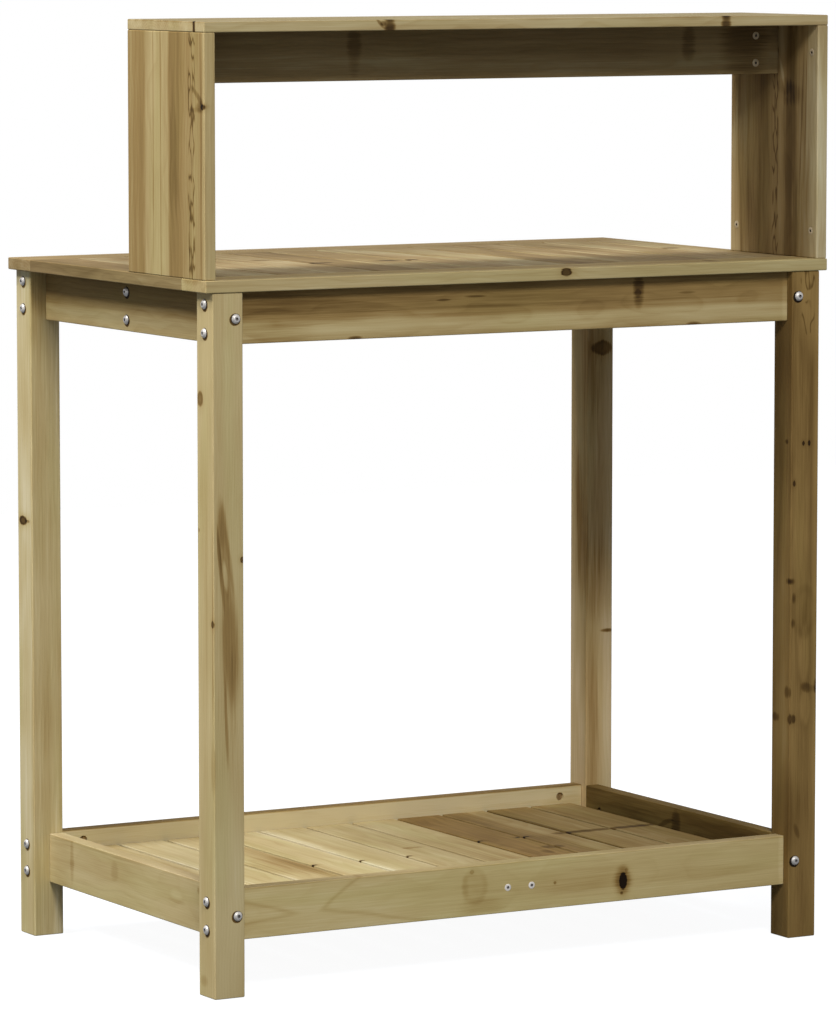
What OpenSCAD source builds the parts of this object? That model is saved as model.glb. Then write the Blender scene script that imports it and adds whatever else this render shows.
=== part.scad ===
// Potting bench in impregnated softwood: a bolted frame on four square legs, a slatted worktop,
// a slatted lower shelf inside deep rails, and a hutch with a shelf above the rear edge.
// +Z is up and the floor is at Z 0. The gardener stands on the -Y side and the hutch is on +Y.
// Left and right are the gardener's: left is -X.

/* [Overall] */
// Width of the worktop and of the hutch, along X
bench_w = 825; // [700:1:1000]
// Depth of the worktop, along Y
bench_d = 500; // [450:1:650]
// Height of the worktop's upper face above the floor
worktop_h = 806; // [700:1:950]

/* [Timber] */
// Side of the square legs
leg_s = 38; // [34:1:44]
// Width of the planed boards used for the rails, aprons and worktop borders
board_w = 58.5; // [54:0.5:66]
// Thickness of the rails, aprons, centre beam and stretcher
rail_t = 18; // [16:0.5:21]
// Thickness of the worktop boards and of all slats
slat_t = 14; // [12:0.5:18]
// Gap between two slats
slat_gap = 5.4; // [3:0.2:8]
// Gap left where the end of one board meets another board
joint_gap = 0.3; // [0.2:0.1:1]

/* [Frame] */
// How far the legs stand back from the worktop's ends
leg_inset_x = 9.5; // [5:0.5:12]
// How far the legs stand back from the worktop's long edges
leg_inset_y = 2; // [0:0.5:8]
// Height of the lower rails' underside above the floor
rail_z = 63.5; // [40:0.5:120]

/* [Battens] */
// Width of the flat battens under the worktop
top_batten_w = 45; // [40:1:60]
// Thickness of all battens
batten_t = 18; // [16:0.5:22]
// Height of the upright battens under the lower shelf
shelf_batten_h = 22; // [20:0.5:28]
// Gap between the end of a batten and the side rail
batten_end_gap = 1; // [0.5:0.5:3]

/* [Hutch] */
// Depth of the hutch panels and of the shelf on them
hutch_d = 185; // [150:1:220]
// How far the hutch stands in from the worktop's rear edge
hutch_inset = 2; // [0:0.5:10]
// Height of the hutch panels
hutch_h = 273; // [220:1:340]
// Thickness of the hutch panels
panel_t = 14; // [13:0.5:18]
// Thickness of the shelf on the hutch
shelf_t = 12; // [11:0.5:16]

/* [Bolts and barrel nuts] */
// Diameter of the frame bolts
bolt_d = 6; // [5:0.5:7]
// Diameter of the bolts' button heads
bolt_head_d = 12; // [11:0.5:14]
// Height of the bolts' button heads
bolt_head_h = 3.6; // [3:0.1:4.5]
// Width across the flats of the hexagon sockets in the bolts
bolt_key = 4; // [3:0.5:5]
// Distance between the two bolts of a pair
bolt_spread = 32; // [28:1:36]
// Distance from a rail's end to the centre of its barrel nut
nut_inset = 32; // [24:1:40]
// Diameter of the barrel nuts
nut_d = 10; // [9:0.5:12]
// Length of the barrel nuts
nut_len = 13; // [11:0.5:14]
// How much wider a bolt hole in wood is than the bolt
bolt_clear = 0.5; // [0.3:0.1:1]
// How much wider a threaded bore is modelled than its screw
thread_clear = 0.2; // [0.1:0.05:0.4]
// How much wider the bore for a barrel nut or a cam is than the piece in it
nut_clear = 0.3; // [0.2:0.1:0.6]

/* [Hutch cams] */
// Diameter of the cams that hold the hutch together
cam_d = 9; // [8:0.5:11]
// Length of the cams
cam_len = 11; // [10:0.5:12]
// Depth of the connecting pin's axis below the face that the cam is set in
cam_axis_depth = 7; // [6:0.5:7.5]
// Distance from a joint to the cam that pulls it together
cam_inset = 32; // [28:1:40]
// Distance from a panel's long edges to the cams in it
cam_edge = 13; // [11:0.5:20]
// Diameter of the connecting pins' shank
pin_d = 5; // [4:0.5:6]
// Diameter of the connecting pins' threaded foot
pin_foot_d = 6; // [6:0.5:7]
// How deep the threaded foot sits in the next board
pin_bite = 9; // [7:0.5:10]

/* [Wood screws] */
// Diameter of the screws that hold slats and battens
screw_d = 3.5; // [3:0.5:4.5]
// Diameter of those screws' countersunk heads
screw_head_d = 7; // [6:0.5:8.5]
// How far a screw reaches into a slat
slat_bite = 7; // [5:0.5:9]
// How far a batten's screw reaches into the rail
rail_bite = 12; // [8:0.5:14]
// Diameter of the screws through the lower rails into the centre slat
centre_screw_d = 4.5; // [4:0.5:5.5]
// Diameter of those screws' countersunk heads
centre_head_d = 8.4; // [8:0.2:10]
// How far those screws reach into the centre slat
centre_bite = 27; // [20:1:40]
// How much wider a screw hole is than the screw
screw_clear = 0.2; // [0.1:0.05:0.4]

/* [Hidden] */
$fn = 48;
eps = 0.5;                 // how far a cutter runs past a face that it opens
tip_gap = 3;               // air left at the blind end of a bolt or screw hole
worktop_slats = 13;
shelf_slats = 11;
countersink = 0.9;         // countersunk head's height as a share of how far it overhangs the shank
recess_share = 0.42;       // width of a screw's or cam's drive recess as a share of its head

// Frame layout
leg_h = worktop_h - slat_t;
leg_x = bench_w / 2 - leg_inset_x - leg_s / 2;
leg_y = bench_d / 2 - leg_inset_y - leg_s / 2;
leg_out_x = leg_x + leg_s / 2;
leg_out_y = leg_y + leg_s / 2;
side_x = leg_x - leg_s / 2 + rail_t / 2;       // side rails lie flush with the legs' inner faces
long_len = 2 * (leg_x - leg_s / 2);
side_len = 2 * (leg_y - leg_s / 2);
rail_in_x = side_x - rail_t / 2;               // inner faces of the side rails
rail_in_y = leg_y - rail_t / 2;                // inner faces of the long rails
apron_z = leg_h - board_w / 2;
low_z = rail_z + board_w / 2;
levels = [apron_z, low_z];
pair = [-bolt_spread / 2, bolt_spread / 2];

// Fastener lengths
bolt_len = leg_s + nut_inset + nut_d / 2;
beam_bolt_len = rail_t + nut_inset + nut_d / 2;
bolt_hole_d = bolt_d + bolt_clear;
top_screw_len = batten_t + slat_bite;
shelf_screw_len = shelf_batten_h + slat_bite;
top_fix_len = top_batten_w + rail_bite;
shelf_fix_len = batten_t + rail_bite;
centre_screw_len = rail_t + centre_bite;

// Slats: the worktop's fill its width, and the lower shelf takes the same ones at the same pitch
slat_w = (bench_w - (worktop_slats - 1) * slat_gap) / worktop_slats;
slat_pitch = slat_w + slat_gap;
top_slat_len = bench_d - 2 * (board_w + joint_gap);
shelf_slat_len = 2 * (rail_in_y - joint_gap);
shelf_z = low_z - slat_t / 2;                  // underside of the lower shelf's slats
function slat_x(i, count) = (i - (count + 1) / 2) * slat_pitch;

// Battens
batten_len = long_len - 2 * batten_end_gap;
top_batten_y = rail_in_y - top_batten_w / 2;
top_batten_z = leg_h - batten_t;
shelf_batten_y = rail_in_y - batten_t / 2;
shelf_batten_z = shelf_z - shelf_batten_h;
top_slat_end = top_slat_len / 2;
slat_screw_y = (top_slat_end + rail_in_y - top_batten_w) / 2;
border_screw_y = (rail_in_y + top_slat_end + joint_gap) / 2;
outer_screw_x = (batten_len / 2 + slat_x(worktop_slats, worktop_slats) - slat_w / 2) / 2;
fix_x = [-4.5 * slat_pitch, -1.5 * slat_pitch, 1.5 * slat_pitch, 4.5 * slat_pitch];
function top_screw_x(i) = let (x = slat_x(i, worktop_slats))
    abs(x) + slat_w / 2 > batten_len / 2 ? sign(x) * outer_screw_x : x;

// Hutch
panel_x = bench_w / 2 - panel_t / 2;
panel_in_x = bench_w / 2 - panel_t;
hutch_y = bench_d / 2 - hutch_inset - hutch_d / 2;
panel_top = worktop_h + hutch_h;
stretcher_z = panel_top - board_w / 2;
stretcher_face_y = hutch_y + rail_t / 2;       // the face that its cams are set in
stretcher_len = 2 * (panel_in_x - joint_gap);
pin_x = panel_in_x + cam_axis_depth;           // pins in the panels
panel_cam_y = [hutch_y - hutch_d / 2 + cam_edge, hutch_y + hutch_d / 2 - cam_edge];

// ---------- Small helpers ----------

// Turns a shape that points along +Z so that it points along v, which lies on an axis
module aim(v) { rotate([0, acos(v.z), v.x == 0 && v.y == 0 ? 0 : atan2(v.y, v.x)]) children(); }

// A block given by its size and its centre in X and Y, standing on z
module block(size, at) {
    translate([at.x - size.x / 2, at.y - size.y / 2, at.z]) cube(size);
}

// Runs from just outside a face at the origin to depth along +Z
module drill(d, depth) { translate([0, 0, -eps]) cylinder(d = d, h = depth + eps); }

// Button-headed bolt: the head's seat is at the origin and the shank runs along +Z
module bolt(length) {
    difference() {
        union() {
            intersection() {
                translate([0, 0, -bolt_head_h]) cylinder(d = bolt_head_d, h = bolt_head_h);
                translate([0, 0, dome_r - bolt_head_h]) sphere(r = dome_r);
            }
            cylinder(d = bolt_d, h = length);
        }
        translate([0, 0, -bolt_head_h - eps])
            cylinder(d = bolt_key / cos(30), h = bolt_head_h * 0.65 + eps, $fn = 6);
    }
}
// Radius of a dome that is bolt_head_h high, of which a quarter is left as the head's rim
dome_h = bolt_head_h * 0.75;
dome_r = (pow(bolt_head_d / 2, 2) + pow(dome_h, 2)) / (2 * dome_h);

// Countersunk screw: the head's face is at the origin and the shank runs along +Z
function csk_h(d, head_d) = (head_d - d) / 2 * countersink;
module screw(length, d, head_d) {
    tip = d * 1.2;
    difference() {
        union() {
            cylinder(d1 = head_d, d2 = d, h = csk_h(d, head_d));
            cylinder(d = d, h = length - tip);
            translate([0, 0, length - tip]) cylinder(d1 = d, d2 = d * 0.3, h = tip);
        }
        translate([0, 0, -eps]) cylinder(d = head_d * recess_share, h = csk_h(d, head_d) + eps, $fn = 6);
    }
}

// The hole for such a screw, with its countersink
module screw_hole(length, d, head_d) {
    drill(d + screw_clear, length + tip_gap / 3);
    translate([0, 0, -eps])
        cylinder(d1 = head_d + screw_clear + 2 * eps / countersink, d2 = d + screw_clear,
                 h = csk_h(d, head_d) + eps);
}

// Cam: its face is at the origin, it is sunk along +Z, and the pin comes in along the axis v
module cam(v) {
    difference() {
        cylinder(d = cam_d, h = cam_len);
        translate([0, 0, -eps]) cylinder(d = cam_d * recess_share, h = cam_axis_depth / 3 + eps, $fn = 6);
        translate([0, 0, cam_axis_depth]) aim(v) cylinder(d = pin_d + thread_clear, h = cam_d, center = true);
    }
}

// Connecting pin: the joint is at the origin, the foot points along -Z and the shank along +Z
module pin() {
    translate([0, 0, -pin_bite]) cylinder(d = pin_foot_d, h = pin_bite);
    cylinder(d = pin_d, h = cam_inset + cam_d / 2);
}

// ---------- Where the fasteners go; each of these repeats its children at every place ----------

// Pairs through the legs into the aprons and long lower rails; children point inwards along X
module at_long_bolts() {
    for (sx = [-1, 1], sy = [-1, 1], z = levels, dz = pair)
        translate([sx * leg_out_x, sy * leg_y, z + dz]) aim([-sx, 0, 0]) children();
}
// Single bolts through the legs into the side rails; children point inwards along Y
module at_side_bolts() {
    for (sx = [-1, 1], sy = [-1, 1], z = levels)
        translate([sx * side_x, sy * leg_out_y, z]) aim([0, -sy, 0]) children();
}
// Pairs through the side aprons into the centre beam
module at_beam_bolts() {
    for (sx = [-1, 1], dz = pair)
        translate([sx * (side_x + rail_t / 2), 0, apron_z + dz]) aim([-sx, 0, 0]) children();
}
// Barrel nuts: at the middle of the wood, children point from the outer to the inner face
module at_long_nuts() {
    for (sx = [-1, 1], sy = [-1, 1], z = levels, dz = pair)
        translate([sx * (long_len / 2 - nut_inset), sy * leg_y, z + dz]) aim([0, -sy, 0]) children();
}
module at_side_nuts() {
    for (sx = [-1, 1], sy = [-1, 1], z = levels)
        translate([sx * side_x, sy * (side_len / 2 - nut_inset), z]) aim([-sx, 0, 0]) children();
}
module at_beam_nuts() {
    for (sx = [-1, 1], dz = pair)
        translate([sx * (rail_in_x - nut_inset), 0, apron_z + dz]) aim([0, -1, 0]) children();
}
// Screws up through the worktop battens into the slats and the borders
module at_top_screws() {
    for (sy = [-1, 1], i = [1 : worktop_slats])
        translate([top_screw_x(i), sy * slat_screw_y, top_batten_z]) children();
    for (sy = [-1, 1], i = [1 : 2 : worktop_slats])
        translate([top_screw_x(i), sy * border_screw_y, top_batten_z]) children();
}
// Screws through the worktop battens into the aprons
module at_top_fixings() {
    for (sy = [-1, 1], x = fix_x)
        translate([x, sy * (rail_in_y - top_batten_w), leg_h - batten_t / 2]) aim([0, sy, 0]) children();
}
// Screws up through the shelf battens into the shelf slats
module at_shelf_screws() {
    for (sy = [-1, 1], i = [1 : shelf_slats])
        translate([slat_x(i, shelf_slats), sy * shelf_batten_y, shelf_batten_z]) children();
}
// Screws through the shelf battens into the long lower rails
module at_shelf_fixings() {
    for (sy = [-1, 1], x = fix_x)
        translate([x, sy * (rail_in_y - batten_t), shelf_batten_z + shelf_batten_h / 2])
            aim([0, sy, 0]) children();
}
// Screws through the long lower rails into the ends of the shelf's centre slat
module at_centre_screws() {
    for (sy = [-1, 1], x = pair)
        translate([x, sy * (leg_y + rail_t / 2), low_z]) aim([0, -sy, 0]) children();
}
// Pins across the joints at the panels' feet, at their tops and at the stretcher's ends
module at_foot_pins() {
    for (sx = [-1, 1], y = panel_cam_y) translate([sx * pin_x, y, worktop_h]) children();
}
module at_top_pins() {
    for (sx = [-1, 1], y = panel_cam_y) translate([sx * pin_x, y, panel_top]) aim([0, 0, -1]) children();
}
module at_stretcher_pins() {
    for (sx = [-1, 1], dz = pair)
        translate([sx * panel_in_x, stretcher_face_y - cam_axis_depth, stretcher_z + dz])
            aim([-sx, 0, 0]) children();
}
// Cams: children start at the face that the cam is set in and point into the wood
module at_panel_cams() {
    for (sx = [-1, 1], y = panel_cam_y, z = [worktop_h + cam_inset, panel_top - cam_inset])
        translate([sx * panel_in_x, y, z]) aim([sx, 0, 0]) children();
}
module at_stretcher_cams() {
    for (sx = [-1, 1], dz = pair)
        translate([sx * (panel_in_x - cam_inset), stretcher_face_y, stretcher_z + dz])
            aim([0, -1, 0]) children();
}

// ---------- Bores ----------

module long_bolt_holes() { at_long_bolts() drill(bolt_hole_d, bolt_len + tip_gap); }
module side_bolt_holes() { at_side_bolts() drill(bolt_hole_d, bolt_len + tip_gap); }
module beam_bolt_holes() { at_beam_bolts() drill(bolt_hole_d, beam_bolt_len + tip_gap); }

// A blind bore from the inner face, which ends just past the nut
module nut_bore() {
    translate([0, 0, -nut_len / 2 - nut_clear])
        cylinder(d = nut_d + nut_clear, h = nut_len / 2 + nut_clear + rail_t / 2 + eps);
}
module cam_bore() { drill(cam_d + nut_clear, cam_len + nut_clear); }
module pin_bores() {
    drill(pin_foot_d + screw_clear, cam_inset + cam_d / 2 + nut_clear);
    translate([0, 0, -pin_bite - screw_clear]) cylinder(d = pin_foot_d + screw_clear, h = pin_bite + eps);
}

// ---------- Frame ----------

module leg(sx, sy) {
    color("darkkhaki") difference() {
        block([leg_s, leg_s, leg_h], [sx * leg_x, sy * leg_y, 0]);
        long_bolt_holes();
        side_bolt_holes();
    }
}

module long_board(sy, z_mid) {
    difference() {
        block([long_len, rail_t, board_w], [0, sy * leg_y, z_mid - board_w / 2]);
        long_bolt_holes();
        at_long_nuts() nut_bore();
        children();
    }
}

module side_board(sx, z_mid) {
    difference() {
        block([rail_t, side_len, board_w], [sx * side_x, 0, z_mid - board_w / 2]);
        side_bolt_holes();
        at_side_nuts() nut_bore();
        children();
    }
}

module long_apron(sy) {
    color("tan") long_board(sy, apron_z) at_top_fixings() top_fix_hole();
}

module long_lower_rail(sy) {
    color("tan") long_board(sy, low_z) {
        at_shelf_fixings() shelf_fix_hole();
        at_centre_screws() centre_hole();
    }
}

module side_apron(sx) {
    color("burlywood") side_board(sx, apron_z) beam_bolt_holes();
}

module side_lower_rail(sx) {
    color("burlywood") side_board(sx, low_z);
}

module centre_beam() {
    color("peru") difference() {
        block([2 * rail_in_x, rail_t, board_w], [0, 0, apron_z - board_w / 2]);
        beam_bolt_holes();
        at_beam_nuts() nut_bore();
    }
}

// ---------- Worktop ----------

module top_hole() { screw_hole(top_screw_len, screw_d, screw_head_d); }
module top_fix_hole() { screw_hole(top_fix_len, screw_d, screw_head_d); }

module worktop_border(sy) {
    color("wheat") difference() {
        block([bench_w, board_w, slat_t], [0, sy * (bench_d - board_w) / 2, leg_h]);
        at_top_screws() top_hole();
        at_foot_pins() pin_bores();
    }
}

module worktop_slat(i) {
    color("palegoldenrod") difference() {
        block([slat_w, top_slat_len, slat_t], [slat_x(i, worktop_slats), 0, leg_h]);
        at_top_screws() top_hole();
        at_foot_pins() pin_bores();
    }
}

module worktop_batten(sy) {
    color("rosybrown") difference() {
        block([batten_len, top_batten_w, batten_t], [0, sy * top_batten_y, top_batten_z]);
        at_top_screws() top_hole();
        at_top_fixings() top_fix_hole();
    }
}

// ---------- Lower shelf ----------

module shelf_hole() { screw_hole(shelf_screw_len, screw_d, screw_head_d); }
module shelf_fix_hole() { screw_hole(shelf_fix_len, screw_d, screw_head_d); }
module centre_hole() { screw_hole(centre_screw_len, centre_screw_d, centre_head_d); }

module shelf_slat(i) {
    color("palegoldenrod") difference() {
        block([slat_w, shelf_slat_len, slat_t], [slat_x(i, shelf_slats), 0, shelf_z]);
        at_shelf_screws() shelf_hole();
        at_centre_screws() centre_hole();
    }
}

module shelf_batten(sy) {
    color("rosybrown") difference() {
        block([batten_len, batten_t, shelf_batten_h], [0, sy * shelf_batten_y, shelf_batten_z]);
        at_shelf_screws() shelf_hole();
        at_shelf_fixings() shelf_fix_hole();
    }
}

// ---------- Hutch ----------

module hutch_panel(sx) {
    color("khaki") difference() {
        block([panel_t, hutch_d, hutch_h], [sx * panel_x, hutch_y, worktop_h]);
        at_panel_cams() cam_bore();
        at_foot_pins() pin_bores();
        at_top_pins() pin_bores();
        at_stretcher_pins() pin_bores();
    }
}

module hutch_stretcher() {
    color("tan") difference() {
        block([stretcher_len, rail_t, board_w], [0, hutch_y, stretcher_z - board_w / 2]);
        at_stretcher_cams() cam_bore();
        at_stretcher_pins() pin_bores();
    }
}

module hutch_shelf() {
    color("wheat") difference() {
        block([bench_w, hutch_d, shelf_t], [0, hutch_y, panel_top]);
        at_top_pins() pin_bores();
    }
}

// ---------- Fasteners, each kind a group of separate solids ----------

module frame_bolts() {
    color("silver") {
        at_long_bolts() bolt(bolt_len);
        at_side_bolts() bolt(bolt_len);
    }
}
module beam_bolts() { color("silver") at_beam_bolts() bolt(beam_bolt_len); }

// One barrel nut, with its cross bore along v and a screwdriver slot in its inner end
module barrel_nut(v) {
    slot_w = nut_d * 0.12;
    difference() {
        cylinder(d = nut_d, h = nut_len, center = true);
        aim(v) cylinder(d = bolt_d + thread_clear, h = 2 * nut_d, center = true);
        translate([-nut_d, -slot_w / 2, nut_len / 2 - slot_w]) cube([2 * nut_d, slot_w, 2 * slot_w]);
    }
}
module barrel_nuts() {
    color("gainsboro") {
        at_long_nuts() barrel_nut([0, 1, 0]);
        at_side_nuts() barrel_nut([0, 1, 0]);
        at_beam_nuts() barrel_nut([0, 1, 0]);
    }
}

module worktop_screws() { color("goldenrod") at_top_screws() screw(top_screw_len, screw_d, screw_head_d); }
module worktop_batten_screws() {
    color("goldenrod") at_top_fixings() screw(top_fix_len, screw_d, screw_head_d);
}
module shelf_screws() { color("goldenrod") at_shelf_screws() screw(shelf_screw_len, screw_d, screw_head_d); }
module shelf_batten_screws() {
    color("goldenrod") at_shelf_fixings() screw(shelf_fix_len, screw_d, screw_head_d);
}
module shelf_centre_screws() {
    color("silver") at_centre_screws() screw(centre_screw_len, centre_screw_d, centre_head_d);
}
module hutch_cams() {
    color("gainsboro") {
        at_panel_cams() cam([1, 0, 0]);
        at_stretcher_cams() cam([0, 1, 0]);
    }
}
module hutch_pins() {
    color("silver") {
        at_foot_pins() pin();
        at_top_pins() pin();
        at_stretcher_pins() pin();
    }
}

// ---------- Nodes ----------

leg(-1, -1);  // leg_front_left
leg(1, -1);  // leg_front_right
leg(-1, 1);  // leg_rear_left
leg(1, 1);  // leg_rear_right
long_apron(-1);  // apron_front
long_apron(1);  // apron_rear
side_apron(-1);  // apron_left
side_apron(1);  // apron_right
centre_beam();
long_lower_rail(-1);  // lower_rail_front
long_lower_rail(1);  // lower_rail_rear
side_lower_rail(-1);  // lower_rail_left
side_lower_rail(1);  // lower_rail_right
worktop_border(-1);  // worktop_border_front
worktop_border(1);  // worktop_border_rear
for (i = [1 : worktop_slats])
    worktop_slat(i);
worktop_batten(-1);  // worktop_batten_front
worktop_batten(1);  // worktop_batten_rear
for (i = [1 : shelf_slats])
    shelf_slat(i);
shelf_batten(-1);  // shelf_batten_front
shelf_batten(1);  // shelf_batten_rear
hutch_panel(-1);  // hutch_panel_left
hutch_panel(1);  // hutch_panel_right
hutch_stretcher();
hutch_shelf();
frame_bolts();
beam_bolts();
barrel_nuts();
worktop_screws();
worktop_batten_screws();
shelf_screws();
shelf_batten_screws();
shelf_centre_screws();
hutch_cams();
hutch_pins();
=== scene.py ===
"""Potting bench: timber frame, slatted worktop and lower shelf, open hutch.

In metres, with X across, Y towards the hutch and Z up. The marks on a board are in millimetres.
"""
import sys
import logging
import math
from dataclasses import dataclass, field
from enum import Enum
from typing import Dict, List, Optional, Tuple, Union

import bmesh
import bpy
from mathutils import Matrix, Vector


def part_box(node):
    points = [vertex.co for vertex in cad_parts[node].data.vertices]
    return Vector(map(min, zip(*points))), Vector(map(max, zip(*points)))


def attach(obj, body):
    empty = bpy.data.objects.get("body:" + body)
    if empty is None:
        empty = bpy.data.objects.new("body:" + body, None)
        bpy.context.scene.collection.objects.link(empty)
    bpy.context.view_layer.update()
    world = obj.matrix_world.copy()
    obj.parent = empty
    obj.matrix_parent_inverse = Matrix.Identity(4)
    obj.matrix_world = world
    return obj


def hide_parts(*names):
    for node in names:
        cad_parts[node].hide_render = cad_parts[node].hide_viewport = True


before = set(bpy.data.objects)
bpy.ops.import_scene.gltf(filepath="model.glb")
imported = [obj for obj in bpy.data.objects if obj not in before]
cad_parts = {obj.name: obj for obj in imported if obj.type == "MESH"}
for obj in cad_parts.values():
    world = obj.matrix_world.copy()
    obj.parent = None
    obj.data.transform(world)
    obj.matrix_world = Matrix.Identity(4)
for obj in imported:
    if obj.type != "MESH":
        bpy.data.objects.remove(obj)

log = logging.getLogger("bench")
Triple = Tuple[float, float, float]
Stops = Tuple[Tuple[float, float], ...]

MM = 1000.0     # millimetres in a metre
WHITE = (1.0, 1.0, 1.0)
ALONG = (1.0, 0.0, 0.0)
OFF_GRAIN = (0.0, 1.0, 1.0)
HALF = (0.5, 0.5, 0.5)
MERGE = 1e-6    # corners nearer than this are one, in metres
ON_FACE = 2e-5  # a corner nearer than this to a face lies on it, in metres


def linear(tone: Triple) -> Triple:
    """A screen colour, 0 to 255, as the linear numbers that a shader reads.

    Args:
        tone: red, green and blue, 0 to 255.
    Returns:
        The same colour, 0 to 1, linear.
    """
    return tuple((c / 255 / 12.92) if c <= 10 else ((c / 255 + 0.055) / 1.055) ** 2.4 for c in tone)


def tinted(tone: Triple, by: Triple) -> Triple:
    """A linear colour times another, channel by channel.

    Args:
        tone: the colour.
        by: what each channel is multiplied by.
    Returns:
        The product.
    """
    return tuple(a * b for a, b in zip(tone, by))


def shown(name: str, data: bpy.types.ID) -> bpy.types.Object:
    """Puts a new object into the scene.

    Args:
        name: the object's name.
        data: its light, its camera, or its mesh with its place already in it.
    Returns:
        The object.
    """
    thing = bpy.data.objects.new(name, data)
    bpy.context.scene.collection.objects.link(thing)
    return thing


def creased(shape: bmesh.types.BMesh, limit: float) -> None:
    """Shades a shape sharply over each edge that turns by the limit or more.

    Args:
        shape: the shape.
        limit: the angle, in degrees.
    """
    for edge in shape.edges:
        edge.smooth = len(edge.link_faces) == 2 and edge.calc_face_angle(0.0) < math.radians(limit)


class Wire:
    """A socket's value on its way through a material. Sums on it add Math nodes."""

    def __init__(self, tree: "Tree", socket: Optional[bpy.types.NodeSocket]) -> None:
        """Args: tree is the material's nodes, socket is the output that carries the value."""
        self.tree, self.socket = tree, socket

    def _sum(self, operation: str, *values: Union["Wire", float]) -> "Wire":
        """One Math node on these values."""
        return self.tree.add("ShaderNodeMath", {"operation": operation}, dict(enumerate(values)))

    def __add__(self, other: Union["Wire", float]) -> "Wire":
        """self + other."""
        return self._sum("ADD", self, other)

    def __radd__(self, other: float) -> "Wire":
        """other + self."""
        return self._sum("ADD", other, self)

    def __sub__(self, other: Union["Wire", float]) -> "Wire":
        """self - other."""
        return self._sum("SUBTRACT", self, other)

    def __rsub__(self, other: float) -> "Wire":
        """other - self."""
        return self._sum("SUBTRACT", other, self)

    def __mul__(self, other: Union["Wire", float]) -> "Wire":
        """self times other."""
        return self._sum("MULTIPLY", self, other)

    def __rmul__(self, other: float) -> "Wire":
        """other times self."""
        return self._sum("MULTIPLY", other, self)

    def __pow__(self, other: Union["Wire", float]) -> "Wire":
        """self to the power other."""
        return self._sum("POWER", self, other)

    def either(self, other: "Wire") -> "Wire":
        """The larger of the two."""
        return self._sum("MAXIMUM", self, other)

    def fraction(self) -> "Wire":
        """What is left of the value after its whole part."""
        return self._sum("FRACT", self)

    def root(self) -> "Wire":
        """The square root."""
        return self._sum("SQRT", self)

    def fall(self) -> "Wire":
        """e to the power of minus the value: 1 at 0, and falling away."""
        return self._sum("EXPONENT", self * -1.0)

    def between(self, low: float, high: float) -> "Wire":
        """0 at low and 1 at high, with an S-shaped ramp between them.

        Args:
            low: the value that gives 0.
            high: the value that gives 1.
        Returns:
            The ramp's value.
        """
        return self.tree.add("ShaderNodeMapRange", {"interpolation_type": "SMOOTHSTEP"},
                             {"Value": self, "From Min": low, "From Max": high})


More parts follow.
